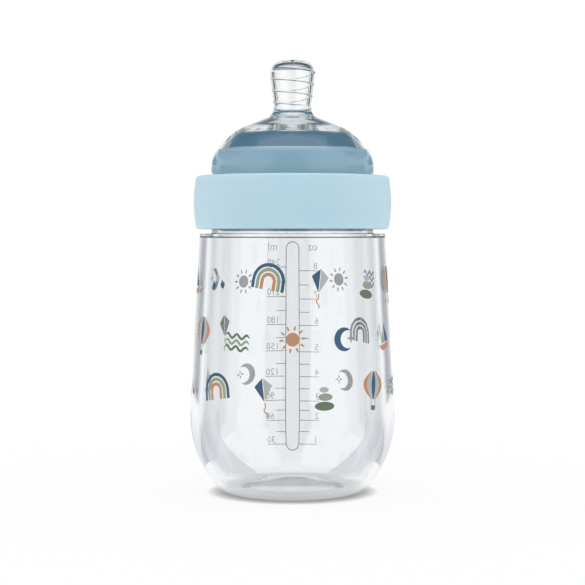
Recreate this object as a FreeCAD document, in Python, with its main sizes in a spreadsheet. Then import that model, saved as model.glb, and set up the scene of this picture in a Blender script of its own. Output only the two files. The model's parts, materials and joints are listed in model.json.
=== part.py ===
import FreeCAD, Part
import math
import os
import Sketcher
from FreeCAD import Vector

# A wide-neck feeding bottle: glass body, screw collar, silicone teat and the vent insert inside the teat.
# It stands on its base ring at Z = 0 with its axis on +Z. All sizes are millimetres.

doc = FreeCAD.newDocument("BabyBottle")

# Driving dimensions. A "corner" is where two straight runs of an outline would meet before rounding.
SIZES = {
    # Glass body, outside
    "recess_radius": 15.0,
    "recess_depth": 0.5,
    "ring_radius": 18.0,
    "foot_corner_radius": 25.9,
    "foot_round": 8.5,
    "heel_corner_radius": 36.3,
    "heel_corner_height": 17.5,
    "heel_round": 36.0,
    "shoulder_ledge": 4.1,
    "shoulder_height": 90.3,
    "shoulder_round": 0.3,
    "neck_radius": 28.3,
    "neck_length": 14.9,
    "neck_root_round": 0.5,
    "rim_round": 0.6,
    # Glass body, wall and inside
    "floor_thickness": 2.0,
    "heel_wall": 2.5,
    "side_wall": 2.4,
    "shoulder_wall": 1.4,
    "neck_wall": 2.2,
    "inner_foot_round": 6.0,
    "inner_shoulder_round": 0.3,
    "inner_neck_round": 0.3,
    # Vent insert: flange on the rim, spigot in the neck, a tier and a round crown up into the teat
    "insert_flange_thickness": 1.2,
    "insert_flange_inset": 0.5,
    "insert_wall": 1.2,
    "insert_edge_round": 0.3,
    "spigot_depth": 3.0,
    "spigot_clearance": 0.3,
    "tier_inset": 0.2,
    "tier_taper": 0.6,
    "step_height": 12.0,
    "step_ledge": 1.15,
    "step_round": 0.8,
    "crown_taper": 4.05,
    "crown_height": 5.4,
    "crown_round": 7.5,
    "mouth_taper": 2.5,
    "mouth_rise": 0.9,
    # Silicone teat
    "nest_clearance": 0.25,
    "teat_flange_thickness": 1.8,
    "teat_flange_overhang": 0.9,
    "teat_edge_round": 0.3,
    "lip_clearance": 0.3,
    "lip_height": 0.9,
    "lip_round": 0.6,
    "dome_overhang": 0.9,
    "dome_side_rise": 6.0,
    "dome_side_round": 11.0,
    "dome_break_inset": 7.0,
    "dome_break_rise": 9.3,
    "dome_break_round": 21.5,
    "dome_top_rise": 5.75,
    "dome_wall": 2.3,
    "nipple_root_radius": 6.2,
    "nipple_root_round": 4.0,
    "nipple_tip_radius": 8.2,
    "nipple_length": 18.8,
    "nipple_tip_round": 4.2,
    "nipple_wall": 1.45,
    "tip_wall": 1.4,
    "bore_root_round": 2.0,
    "feed_hole_radius": 0.45,
    "rib_start": 4.1,
    "rib_end_margin": 5.6,
    "rib_pitch": 4.1,
    "rib_width": 0.9,
    "rib_crest_width": 0.45,
    "rib_height": 0.3,
    "rib_root": 0.7,
    # Screw collar
    "collar_hole_inset": 0.8,
    "hole_clearance": 0.3,
    "hole_round": 0.4,
    "collar_flange_thickness": 2.1,
    "collar_height": 18.4,
    "thread_room": 3.2,
    "collar_wall": 2.05,
    "collar_bulge": 1.45,
    "collar_bulge_share": 0.78,
    "collar_edge_round": 0.9,
    "collar_mouth_round": 0.6,
}

# Sizes and places that follow from the driving dimensions.
FITS = {
    # Inside of the glass, set off from the outside by the walls
    "shoulder_radius": "=neck_radius + shoulder_ledge",
    "heel_lean": "=(heel_corner_radius - foot_corner_radius) / heel_corner_height",
    "side_lean": "=(heel_corner_radius - shoulder_radius) / (shoulder_height - heel_corner_height)",
    "inner_heel_start": "=foot_corner_radius - heel_wall * sqrt(1 + heel_lean ^ 2)",
    "inner_side_start": "=shoulder_radius - side_wall + side_lean * shoulder_height",
    "inner_heel_height": "=(inner_side_start - inner_heel_start) / (heel_lean + side_lean)",
    "inner_heel_radius": "=inner_heel_start + heel_lean * inner_heel_height",
    "inner_heel_round": "=heel_round - side_wall",
    "inner_foot_radius": "=inner_heel_start + heel_lean * floor_thickness",
    "inner_shoulder_height": "=shoulder_height - shoulder_wall",
    "inner_shoulder_radius": "=inner_side_start - side_lean * inner_shoulder_height",
    "neck_bore_radius": "=neck_radius - neck_wall",
    "rim_height": "=shoulder_height + neck_length",
    # Vent insert, centred in the neck and resting on the rim
    "insert_flange_radius": "=neck_radius - insert_flange_inset",
    "insert_seat": "=rim_height + insert_flange_thickness",
    "spigot_radius": "=neck_bore_radius - spigot_clearance",
    "spigot_bottom": "=rim_height - spigot_depth",
    "tier_radius": "=spigot_radius - tier_inset",
    "step_radius": "=tier_radius - tier_taper",
    "step_level": "=insert_seat + step_height",
    "crown_radius": "=step_radius - step_ledge",
    "crown_corner_radius": "=crown_radius - crown_taper",
    "crown_corner_level": "=step_level + crown_height",
    "mouth_radius": "=crown_corner_radius - mouth_taper",
    "mouth_level": "=crown_corner_level + mouth_rise",
    "inner_tier_radius": "=tier_radius - insert_wall",
    "inner_tier_level": "=step_level - 3.5 * insert_wall",
    "inner_step_radius": "=crown_radius - insert_wall / 2",
    "inner_step_level": "=step_level - insert_wall",
    "inner_crown_radius": "=crown_corner_radius - insert_wall * 0.8",
    "inner_crown_level": "=crown_corner_level - insert_wall",
    "inner_mouth_radius": "=mouth_radius - insert_wall",
    # Collar, clamping the teat's flange on the insert's flange
    "teat_seat": "=insert_seat + teat_flange_thickness",
    "collar_top": "=teat_seat + collar_flange_thickness",
    "collar_bottom": "=collar_top - collar_height",
    "collar_middle": "=collar_top - collar_height / 2",
    "collar_bore_radius": "=neck_radius + thread_room",
    "collar_radius": "=collar_bore_radius + collar_wall",
    "collar_bulge_radius": "=collar_radius + collar_bulge",
    "collar_bulge_round": "=collar_bulge_share * collar_height ^ 2 / (4 * collar_bulge)",
    "collar_hole_radius": "=neck_radius - collar_hole_inset",
    # Teat, gripping the collar's hole in its groove
    "teat_flange_radius": "=neck_radius + teat_flange_overhang",
    "groove_radius": "=collar_hole_radius - hole_clearance",
    "lip_level": "=collar_top + lip_clearance",
    "lip_top": "=lip_level + lip_height",
    "dome_radius": "=collar_hole_radius + dome_overhang",
    "dome_side_level": "=lip_level + dome_side_rise",
    "dome_break_radius": "=dome_radius - dome_break_inset",
    "dome_break_level": "=dome_side_level + dome_break_rise",
    "nipple_root_level": "=dome_break_level + dome_top_rise",
    "tip_level": "=nipple_root_level + nipple_length",
    "nipple_lean": "=(nipple_tip_radius - nipple_root_radius) / nipple_length",
    "bore_tip_radius": "=nipple_tip_radius - nipple_wall",
    "bore_tip_level": "=tip_level - tip_wall",
    "bore_tip_round": "=nipple_tip_round - nipple_wall",
    "bore_root_radius": "=nipple_root_radius - nipple_wall",
    "bore_root_level": "=nipple_root_level - dome_wall",
    # Spiral rib, which stays on the nipple's straight flank
    "rib_span": "=nipple_length - rib_start - rib_end_margin",
    "rib_level": "=nipple_root_level + rib_start",
    "rib_flank_radius": "=nipple_root_radius + nipple_lean * rib_start",
    "rib_root_radius": "=rib_flank_radius - rib_root",
    "rib_crest_radius": "=rib_flank_radius + rib_height",
    "rib_root_bottom": "=rib_level - rib_width / 2",
    "rib_root_top": "=rib_level + rib_width / 2",
    "rib_crest_bottom": "=rib_level - rib_crest_width / 2",
    "rib_crest_top": "=rib_level + rib_crest_width / 2",
    # Inside of the teat, which nests over the insert
    "nest_corner_radius": "=crown_corner_radius + nest_clearance",
    "nest_corner_level": "=crown_corner_level + nest_clearance",
    "nest_corner_round": "=crown_round + nest_clearance",
    "nest_crown_radius": "=crown_radius + nest_clearance",
    "nest_step_radius": "=step_radius + nest_clearance",
    "nest_step_level": "=step_level + nest_clearance",
    "nest_tier_radius": "=tier_radius + nest_clearance",
}

sheet = doc.addObject("Spreadsheet::Sheet", "Sizes")
for row, (alias, entry) in enumerate({**SIZES, **FITS}.items(), start=1):
    sheet.set(f"A{row}", alias)
    sheet.set(f"B{row}", str(entry))
    sheet.setAlias(f"B{row}", alias)
doc.recompute()


def size(alias):
    """Value of a named size; no name means zero, which is the axis or the table."""
    return float(sheet.get(alias)) if alias else 0.0


def bind(sketch, constraint, alias):
    """Add a dimension to a sketch and tie it to a named size."""
    index = sketch.addConstraint(constraint)
    sketch.setExpression(f"Constraints[{index}]", f"Sizes.{alias}")


def place_point(sketch, geometry, end, radius_name, height_name):
    """Hold a point of the sketch at a named radius and height."""
    if radius_name:
        bind(sketch, Sketcher.Constraint("DistanceX", -1, 1, geometry, end, size(radius_name)), radius_name)
    else:
        sketch.addConstraint(Sketcher.Constraint("PointOnObject", geometry, end, -2))
    if height_name:
        bind(sketch, Sketcher.Constraint("DistanceY", -1, 1, geometry, end, size(height_name)), height_name)
    else:
        sketch.addConstraint(Sketcher.Constraint("PointOnObject", geometry, end, -1))


def rounding(before, corner, after, radius):
    """Tangent arc that rounds a corner, and whether the outline turns left there."""
    arriving = (corner - before).normalize()
    leaving = (after - corner).normalize()
    turn = arriving.getAngle(leaving)
    reach = radius * math.tan(turn / 2)
    start = corner - arriving * reach
    finish = corner + leaving * reach
    inward = (leaving - arriving).normalize()
    centre = corner + inward * (radius / math.cos(turn / 2))
    arc = Part.Arc(start, centre - inward * radius, finish)
    return arc, start, finish, arriving.cross(leaving).z > 0


def draw_section(body, name, corners):
    """Closed sketch in the body's XZ plane through corners (radius, height, rounding), all named sizes."""
    sketch = body.newObject("Sketcher::SketchObject", name)
    plane = [item for item in body.Origin.OriginFeatures if item.Role == "XZ_Plane"][0]
    sketch.AttachmentSupport = (plane, "")
    sketch.MapMode = "FlatFace"
    points = [Vector(size(radius), size(height), 0) for radius, height, _ in corners]
    count = len(corners)
    starts = list(points)
    ends = list(points)
    arcs = {}
    for here, (_, _, round_name) in enumerate(corners):
        if round_name:
            after = points[(here + 1) % count]
            arc, ends[here], starts[here], left = rounding(points[here - 1], points[here], after, size(round_name))
            arcs[here] = (arc, left)
    # Line number i runs from corner i to corner i + 1.
    for here in range(count):
        sketch.addGeometry(Part.LineSegment(starts[here], ends[(here + 1) % count]))
    for here, (radius_name, height_name, round_name) in enumerate(corners):
        line_in = (here - 1) % count
        if not round_name:
            sketch.addConstraint(Sketcher.Constraint("Coincident", line_in, 2, here, 1))
            place_point(sketch, here, 1, radius_name, height_name)
            continue
        arc, left = arcs[here]
        arc_number = sketch.addGeometry(arc)
        first, last = (1, 2) if left else (2, 1)
        corner_number = sketch.addGeometry(Part.Point(points[here]), True)
        place_point(sketch, corner_number, 1, radius_name, height_name)
        sketch.addConstraint(Sketcher.Constraint("PointOnObject", corner_number, 1, line_in))
        sketch.addConstraint(Sketcher.Constraint("PointOnObject", corner_number, 1, here))
        sketch.addConstraint(Sketcher.Constraint("Tangent", line_in, 2, arc_number, first))
        sketch.addConstraint(Sketcher.Constraint("Tangent", arc_number, last, here, 1))
        bind(sketch, Sketcher.Constraint("Radius", arc_number, size(round_name)), round_name)
    return sketch


def turned_body(label, corners):
    """Sub-part turned about the bottle's axis from its section."""
    body = doc.addObject("PartDesign::Body", label)
    body.Label = label
    section = draw_section(body, f"{label}_section", corners)
    turned = body.newObject("PartDesign::Revolution", f"{label}_turned")
    turned.Profile = section
    turned.ReferenceAxis = (section, ["V_Axis"])
    turned.Angle = 360
    section.Visibility = False
    body.Placement = FreeCAD.Placement()
    return body


# Glass body: up the outside from the recessed base to the rim, then down the inside to the floor.
bottle_body = turned_body("bottle_body", [
    (None, "recess_depth", None),
    ("recess_radius", "recess_depth", None),
    ("ring_radius", None, None),
    ("foot_corner_radius", None, "foot_round"),
    ("heel_corner_radius", "heel_corner_height", "heel_round"),
    ("shoulder_radius", "shoulder_height", "shoulder_round"),
    ("neck_radius", "shoulder_height", "neck_root_round"),
    ("neck_radius", "rim_height", "rim_round"),
    ("neck_bore_radius", "rim_height", "rim_round"),
    ("neck_bore_radius", "inner_shoulder_height", "inner_neck_round"),
    ("inner_shoulder_radius", "inner_shoulder_height", "inner_shoulder_round"),
    ("inner_heel_radius", "inner_heel_height", "inner_heel_round"),
    ("inner_foot_radius", "floor_thickness", "inner_foot_round"),
    (None, "floor_thickness", None),
])

# Vent insert: a ring with a step and a round crown, open at both ends.
vent_insert = turned_body("vent_insert", [
    ("inner_tier_radius", "spigot_bottom", None),
    ("spigot_radius", "spigot_bottom", "insert_edge_round"),
    ("spigot_radius", "rim_height", None),
    ("insert_flange_radius", "rim_height", None),
    ("insert_flange_radius", "insert_seat", "insert_edge_round"),
    ("tier_radius", "insert_seat", None),
    ("step_radius", "step_level", "step_round"),
    ("crown_radius", "step_level", None),
    ("crown_corner_radius", "crown_corner_level", "crown_round"),
    ("mouth_radius", "mouth_level", None),
    ("inner_mouth_radius", "mouth_level", "insert_edge_round"),
    ("inner_crown_radius", "inner_crown_level", None),
    ("inner_step_radius", "inner_step_level", None),
    ("inner_tier_radius", "inner_tier_level", None),
])

# Teat: flange, groove for the collar, breast-shaped dome and flared nipple with its feed hole.
teat_blank = turned_body("teat_blank", [
    ("nest_tier_radius", "insert_seat", None),
    ("teat_flange_radius", "insert_seat", "teat_edge_round"),
    ("teat_flange_radius", "teat_seat", "teat_edge_round"),
    ("groove_radius", "teat_seat", None),
    ("groove_radius", "lip_level", "teat_edge_round"),
    ("dome_radius", "lip_top", "lip_round"),
    ("dome_radius", "dome_side_level", "dome_side_round"),
    ("dome_break_radius", "dome_break_level", "dome_break_round"),
    ("nipple_root_radius", "nipple_root_level", "nipple_root_round"),
    ("nipple_tip_radius", "tip_level", "nipple_tip_round"),
    ("feed_hole_radius", "tip_level", None),
    ("feed_hole_radius", "bore_tip_level", None),
    ("bore_tip_radius", "bore_tip_level", "bore_tip_round"),
    ("bore_root_radius", "bore_root_level", "bore_root_round"),
    ("nest_corner_radius", "nest_corner_level", "nest_corner_round"),
    ("nest_crown_radius", "nest_step_level", None),
    ("nest_step_radius", "nest_step_level", None),
])

# Spiral rib, swept along a helix that leans out with the nipple's flank, and moulded in one with the teat.
rib_section = draw_section(teat_blank, "rib_section", [
    ("rib_root_radius", "rib_root_bottom", None),
    ("rib_crest_radius", "rib_crest_bottom", None),
    ("rib_crest_radius", "rib_crest_top", None),
    ("rib_root_radius", "rib_root_top", None),
])
rib_path = doc.addObject("Part::Helix", "rib_path")
rib_path.setExpression("Pitch", "Sizes.rib_pitch")
rib_path.setExpression("Height", "Sizes.rib_span")
rib_path.setExpression("Radius", "Sizes.rib_flank_radius")
rib_path.setExpression("Angle", "atan(Sizes.nipple_lean)")
rib_path.setExpression(".Placement.Base.z", "Sizes.rib_level")
rib_path.LocalCoord = "Left-handed"
nipple_rib = doc.addObject("Part::Sweep", "nipple_rib")
nipple_rib.Sections = [rib_section]
nipple_rib.Spine = (rib_path, [])
nipple_rib.Solid = True
nipple_rib.Frenet = True
teat = doc.addObject("Part::Fuse", "teat")
teat.Label = "teat"
teat.Base = teat_blank
teat.Tool = nipple_rib

# Screw collar: barrel-shaped skirt with room for the thread, and a flange that clamps the teat.
collar = turned_body("collar", [
    ("collar_bore_radius", "collar_bottom", "collar_mouth_round"),
    ("collar_radius", "collar_bottom", "collar_edge_round"),
    ("collar_bulge_radius", "collar_middle", "collar_bulge_round"),
    ("collar_radius", "collar_top", "collar_edge_round"),
    ("collar_hole_radius", "collar_top", "hole_round"),
    ("collar_hole_radius", "teat_seat", "hole_round"),
    ("collar_bore_radius", "teat_seat", None),
])

doc.recompute()

for item in doc.Objects:
    if "Invalid" in item.State or "Error" in item.State:
        raise RuntimeError(f"{item.Label} failed: {item.State}")
    if item.isDerivedFrom("Sketcher::SketchObject") and not item.FullyConstrained:
        raise RuntimeError(f"{item.Label} isn't fully constrained")

if teat.Shape.Volume <= teat_blank.Shape.Volume:
    raise RuntimeError("The spiral rib adds nothing to the nipple")

sub_parts = [bottle_body, vent_insert, teat, collar]
for sub_part in sub_parts:
    if len(sub_part.Shape.Solids) != 1 or not sub_part.Shape.isValid():
        raise RuntimeError(f"{sub_part.Label} isn't one valid solid")

os.makedirs("parts", exist_ok=True)
for sub_part in sub_parts:
    sub_part.Shape.exportStep(f"parts/{sub_part.Label}.step")
    box = sub_part.Shape.optimalBoundingBox()
    print(f"{sub_part.Label}: {sub_part.Shape.Volume / 1000:.2f} cm3, Z {box.ZMin:.2f} to {box.ZMax:.2f}, "
          f"radius {box.XMax:.2f}")
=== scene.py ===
# %% [markdown]
# # A glass baby bottle, piece by piece
# The bottle has four pieces that come apart on a bench: a glass body, a blue vent insert, a clear silicone
# teat and a blue screw collar. The solids give each piece its place and size. This lesson makes the
# surfaces that the eye sees: clear glass, soft silicone, satin plastic, and the ink of the scale and of a
# small pattern.

# %% Load the frame
import json
import math

import bmesh
import bpy
from mathutils import Matrix, Vector

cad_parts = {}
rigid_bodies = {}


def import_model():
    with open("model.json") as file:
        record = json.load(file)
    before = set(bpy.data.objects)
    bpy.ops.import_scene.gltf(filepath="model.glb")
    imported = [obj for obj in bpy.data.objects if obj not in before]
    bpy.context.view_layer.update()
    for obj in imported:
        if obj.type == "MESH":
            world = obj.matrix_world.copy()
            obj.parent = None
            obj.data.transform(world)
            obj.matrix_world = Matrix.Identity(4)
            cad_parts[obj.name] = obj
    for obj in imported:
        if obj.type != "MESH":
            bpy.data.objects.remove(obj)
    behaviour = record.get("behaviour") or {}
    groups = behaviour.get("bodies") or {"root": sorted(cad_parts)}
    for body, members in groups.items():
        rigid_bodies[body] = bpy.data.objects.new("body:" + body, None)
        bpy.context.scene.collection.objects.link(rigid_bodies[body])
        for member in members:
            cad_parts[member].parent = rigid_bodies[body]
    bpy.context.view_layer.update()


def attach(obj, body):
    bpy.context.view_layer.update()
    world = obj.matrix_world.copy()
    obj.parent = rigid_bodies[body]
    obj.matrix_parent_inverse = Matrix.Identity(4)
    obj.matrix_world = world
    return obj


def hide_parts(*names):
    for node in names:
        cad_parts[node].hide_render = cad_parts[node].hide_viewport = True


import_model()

MM = 0.001

# %% [markdown]
# ## Camera
# A product photo is taken from far away with a long lens, so that the sides of the bottle look upright. The
# ellipses of the collar and of the base tell how high the camera stands: a little above the middle, looking
# down by two degrees. A long lens half a metre away gives the same picture. Light crosses many walls of
# glass and silicone on its way, so it may bounce often.

# %% Camera
FOCAL_LENGTH = 100.06
CAMERA_PLACE = (0, -0.569, 0.0893)
CAMERA_DIP = 1.97


def new_object(name, data):
    """Object in the scene for a mesh or other data."""
    made = bpy.data.objects.new(name, data)
    scene.collection.objects.link(made)
    return made


scene = bpy.context.scene
scene.view_settings.view_transform = "Standard"
scene.cycles.max_bounces = 64
scene.cycles.transmission_bounces = 64
scene.cycles.glossy_bounces = 32
lens = bpy.data.cameras.new("photo_camera")
lens.lens = FOCAL_LENGTH
lens.sensor_width = 36
lens.clip_start = 0.01
camera = new_object("photo_camera", lens)
camera.location = CAMERA_PLACE
camera.rotation_euler = (math.radians(90 - CAMERA_DIP), 0, 0)
scene.camera = camera
print("camera", round(-camera.location.y, 3), "m in front of the bottle's axis")

# %% [markdown]
# ## Small tools for colours and nodes
# Colours are picked as sRGB hex values, as a paint chart gives them, and one function turns them to the
# linear values that the shader works with. Another adds any node, sets it up and links it, which keeps the
# material and geometry trees short enough to read. A node that is given as a value stands for its first
# output.

# %% Colour and node tools
def linear(hex_colour):
    """Linear RGBA of an sRGB hex colour."""
    parts = [int(hex_colour[i:i + 2], 16) / 255 for i in (1, 3, 5)]
    return tuple(v / 12.92 if v <= 0.04045 else ((v + 0.055) / 1.055) ** 2.4 for v in parts) + (1.0,)


def fill(tree, node, inputs):
    """Set inputs of a node to values, or link them to sockets or to the first output of other nodes."""
    for name, value in inputs.items():
        if isinstance(value, bpy.types.Node):
            value = value.outputs[0]
        if isinstance(value, bpy.types.NodeSocket):
            tree.links.new(value, node.inputs[name])
        else:
            node.inputs[name].default_value = value
    return node


def add_node(tree, kind, inputs=None, **settings):
    """Add a node with its settings, and fill its inputs."""
    node = tree.nodes.new(kind)
    for name, value in settings.items():
        setattr(node, name, value)
    return fill(tree, node, inputs or {})


def fresh_material(name):
    """Material with its tree and its Principled shader, ready for settings."""
    made = bpy.data.materials.new(name)
    made.use_nodes = True
    return made, made.node_tree, made.node_tree.nodes["Principled BSDF"]


WHITE = linear("#ffffff")
print("white is", WHITE)

# %% [markdown]
# ## Sky and floor
# The photo has a white sweep with a faint shadow under the heel of the bottle. A pure white floor under an
# even white sky is the simplest sweep. Paper alone would come out a little grey, so where the camera or the
# glass looks at the floor, most of it is a white glow and the rest is paper, which keeps the soft shadow.
# Close to the heel, ambient occlusion tones the glow down and draws the line of contact as a painted
# shadow.

# %% Sky and floor
FLOOR_HALF = 4.0
FLOOR_DROP = 0.05 * MM
GLOW_SHARE = 0.88
CONTACT_REACH = 4 * MM
sky = bpy.data.worlds.new("studio_sky")
scene.world = sky
sky.use_nodes = True
fill(sky.node_tree, sky.node_tree.nodes["Background"], {"Color": WHITE, "Strength": 1.0})

floor_mesh = bpy.data.meshes.new("studio_floor")
floor_mesh.from_pydata([(x * FLOOR_HALF, y * FLOOR_HALF, -FLOOR_DROP) for x, y in
                        ((-1, -1), (1, -1), (1, 1), (-1, 1))], [], [(0, 1, 2, 3)])
floor = new_object("studio_floor", floor_mesh)
floor_paper, tree, paper = fresh_material("seamless_paper_white")
fill(tree, paper, {"Base Color": WHITE, "Roughness": 1.0, "Specular IOR Level": 0.0})
path = add_node(tree, "ShaderNodeLightPath")
seen = add_node(tree, "ShaderNodeMath", {0: path.outputs["Is Camera Ray"], 1: path.outputs["Is Glossy Ray"]},
                operation="MAXIMUM")
shown = add_node(tree, "ShaderNodeMath", {0: seen, 1: path.outputs["Is Transmission Ray"]},
                 operation="MAXIMUM")
share = add_node(tree, "ShaderNodeMath", {0: shown, 1: GLOW_SHARE}, operation="MULTIPLY")
# Painted contact shadow: ambient occlusion darkens the floor's glow near the heel, less through the glass.
painted_contact_shadow = add_node(tree, "ShaderNodeAmbientOcclusion", {"Distance": CONTACT_REACH}, samples=8)
pale = add_node(tree, "ShaderNodeMapRange",
                {"Value": path.outputs["Is Transmission Ray"], "To Min": 0.3, "To Max": 0.6})
tone = add_node(tree, "ShaderNodeMix", {"Factor": pale, 6: painted_contact_shadow, 7: WHITE}, data_type="RGBA")
glow = add_node(tree, "ShaderNodeEmission", {"Color": tone.outputs[2], "Strength": 1.0})
sweep = add_node(tree, "ShaderNodeMixShader", {0: share, 1: paper, 2: glow})
fill(tree, tree.nodes["Material Output"], {"Surface": sweep})
floor_mesh.materials.append(floor_paper)
print("white sweep,", 2 * FLOOR_HALF, "m wide")

# %% [markdown]
# ## Flags
# Clear glass under even light would vanish, so a photographer sets cards around it, called flags, and the
# glass shows them as grey bands that tell its roundness. Lamps could draw bands too, but only bright ones.
# Dark flags stand in front and at the sides and reach over the floor to the bottle. They show in
# reflections only: for a ray that goes straight through the glass they turn white, so they don't fill it
# when it is seen from elsewhere. Pale flags lie behind the heel, and grey ones hang high behind the teat.
# The camera itself sees none of them.

# %% Flag cards
CARD_STEPS = 12


def flag_card(name, rows, greys, mirrored_only=True, fade=0):
    """Curved card from rows (distance, height, first and last angle from the camera), each with a grey.

    One grey may stand for all rows. With a fade, the card starts white and takes that many steps to its grey.
    """
    greys = [greys] * len(rows) if isinstance(greys, str) else greys
    points, faces, tones = [], [], []
    for (far, height, first, last), grey in zip(rows, greys):
        for i in range(CARD_STEPS + 1):
            turn = math.radians(first + (last - first) * i / CARD_STEPS)
            points.append((far * math.sin(turn), -far * math.cos(turn), height))
            share = min(1.0, i / fade) if fade else 1.0
            tones.append([1 - share * (1 - v) for v in linear(grey)])
    across = CARD_STEPS + 1
    for row in range(len(rows) - 1):
        begin = row * across
        faces += [(i, i + 1, i + 1 + across, i + across) for i in range(begin, begin + CARD_STEPS)]
    mesh = bpy.data.meshes.new(name)
    mesh.from_pydata(points, [], faces)
    shade = mesh.color_attributes.new("grey", "FLOAT_COLOR", "POINT")
    for spot, tone in zip(shade.data, tones):
        spot.color = tone
    card = new_object(name, mesh)
    felt, tree, _ = fresh_material(name + "_felt")
    path = add_node(tree, "ShaderNodeLightPath")
    unseen = add_node(tree, "ShaderNodeMath", {0: path.outputs["Diffuse Depth"], 1: 1.0}, operation="MINIMUM")
    if mirrored_only:
        straight = add_node(tree, "ShaderNodeMath", {0: path.outputs["Glossy Depth"], 1: 1.0},
                            operation="LESS_THAN")
        unseen = add_node(tree, "ShaderNodeMath", {0: unseen, 1: straight}, operation="MAXIMUM")
    grey = add_node(tree, "ShaderNodeVertexColor", layer_name="grey")
    tone = add_node(tree, "ShaderNodeMix", {"Factor": unseen, 6: grey, 7: WHITE}, data_type="RGBA")
    glow = add_node(tree, "ShaderNodeEmission", {"Color": tone.outputs[2], "Strength": 1.0})
    fill(tree, tree.nodes["Material Output"], {"Surface": glow})
    mesh.materials.append(felt)
    card.visible_camera = False
    card.visible_diffuse = False
    card.visible_shadow = False
    return card


print("a flag has", CARD_STEPS, "steps across")

# %% Flags in place
FAR, TALL, LOW = 0.45, 0.16, 0.5 * MM
FRONT = (-31, 20)
BLACK, DARK = "#101112", "#202224"
flags = [
    flag_card("flag_front", ((FAR, 0, *FRONT), (FAR, TALL, *FRONT)), BLACK),
    flag_card("flag_front_high", ((FAR, TALL, *FRONT), (FAR, 0.6, -14, 9)), BLACK),
    flag_card("flag_floor_front", (
        (0.045, LOW, -9, 6), (0.07, LOW, -16, 10), (0.2, LOW, -26, 17), (FAR, LOW, *FRONT)), DARK),
    flag_card("flag_high", ((FAR, 0.24, 100, 260), (FAR, 0.34, 100, 260)), "#8e9ba4", mirrored_only=False),
    flag_card("flag_top", ((FAR, 0.34, 90, 270), (0.3, 0.55, 90, 270), (0.03, 0.6, 90, 270)), "#46545e",
              mirrored_only=False)]
floor_rows = ((0.045, "#c8cacd"), (0.07, "#b8babd"), (0.12, "#929497"), (0.2, "#5c5e60"), (FAR, DARK))
heel_rows = (
    (0.027, 126, 150, "#e3e4e8"), (0.032, 122, 153, "#e3e4e8"), (0.038, 117, 155.5, "#e3e4e8"),
    (0.045, 112, 156.5, "#e3e4e8"), (0.06, 106, 158, "#e3e4e8"), (0.09, 108, 159.5, "#e3e4e8"),
    (0.125, 114, 161.3, "#ecedf0"), (0.21, 122, 166, "#f6f6f8"), (0.3, 126, 168.5, "#fafafb"),
    (FAR, 128, 170, "#fcfcfd"))
for name, hand in (("left", -1), ("right", 1)):
    beside = (78 * hand, 118 * hand)
    behind = (132 * hand, 158 * hand)
    floor_card = [(far, LOW, *beside) for far, _ in floor_rows]
    heel_card = [(far, LOW / 2, first * hand, last * hand) for far, first, last, _ in heel_rows]
    flags += [
        flag_card("flag_" + name, ((FAR, 0, *beside), (FAR, TALL, *beside)), BLACK),
        flag_card("flag_floor_" + name, floor_card, [row[-1] for row in floor_rows]),
        flag_card("flag_back_" + name, ((0.44, 0.15, *behind), (0.44, 0.205, *behind)), "#505254",
                  mirrored_only=False),
        flag_card("flag_back_low_" + name, ((FAR, 0, *behind), (FAR, 0.14, *behind)), "#b4b6ba"),
        flag_card("flag_heel_" + name, heel_card, [row[-1] for row in heel_rows],
                  mirrored_only=False, fade=6)]
print("studio with", len(flags), "flags")

# %% [markdown]
# ## Glass
# The body is clear glass, pressed in a mould and fire-polished. The eye gets three things from it:
# refraction at the thick heel, mirror-like bands, and a very slight unevenness of the surface, which makes
# the bands a little less straight than a ruler. Refractive index 1.5 is usual. The waves are about 22 mm
# long and very low.

# %% Glass material
glass, tree, shader = fresh_material("clear_glass_fire_polished")
place = add_node(tree, "ShaderNodeTexCoord")
waves = add_node(tree, "ShaderNodeTexNoise",
                 {"Vector": place.outputs["Object"], "Scale": 1 / (22 * MM), "Detail": 1.0, "Roughness": 0.3})
relief = add_node(tree, "ShaderNodeBump",
                  {"Height": waves.outputs["Fac"], "Strength": 0.2, "Distance": 0.1 * MM})
fill(tree, shader, {"Base Color": linear("#f8fafb"), "Roughness": 0.0, "IOR": 1.5, "Transmission Weight": 1.0,
                    "Normal": relief})
print("made", glass.name)

# %% [markdown]
# ## Silicone
# The teat is liquid silicone rubber, moulded between polished steel. It is clear like glass, but it bends
# light less, with an index of 1.41, and its surface is softer: highlights are a little wider, and a fine
# skin of about a third of a millimetre takes the hardness off them.

# %% Silicone material
silicone, tree, shader = fresh_material("clear_silicone_moulded")
place = add_node(tree, "ShaderNodeTexCoord")
skin = add_node(tree, "ShaderNodeTexNoise",
                {"Vector": place.outputs["Object"], "Scale": 1 / (0.35 * MM), "Detail": 2.0})
soften = add_node(tree, "ShaderNodeMapRange",
                  {"Value": skin.outputs["Fac"], "To Min": 0.02, "To Max": 0.06})
relief = add_node(tree, "ShaderNodeBump",
                  {"Height": skin.outputs["Fac"], "Strength": 0.15, "Distance": 0.01 * MM})
fill(tree, shader, {"Base Color": linear("#fdfefe"), "IOR": 1.41, "Transmission Weight": 1.0,
                    "Roughness": soften, "Normal": relief})
print("made", silicone.name)
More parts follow.
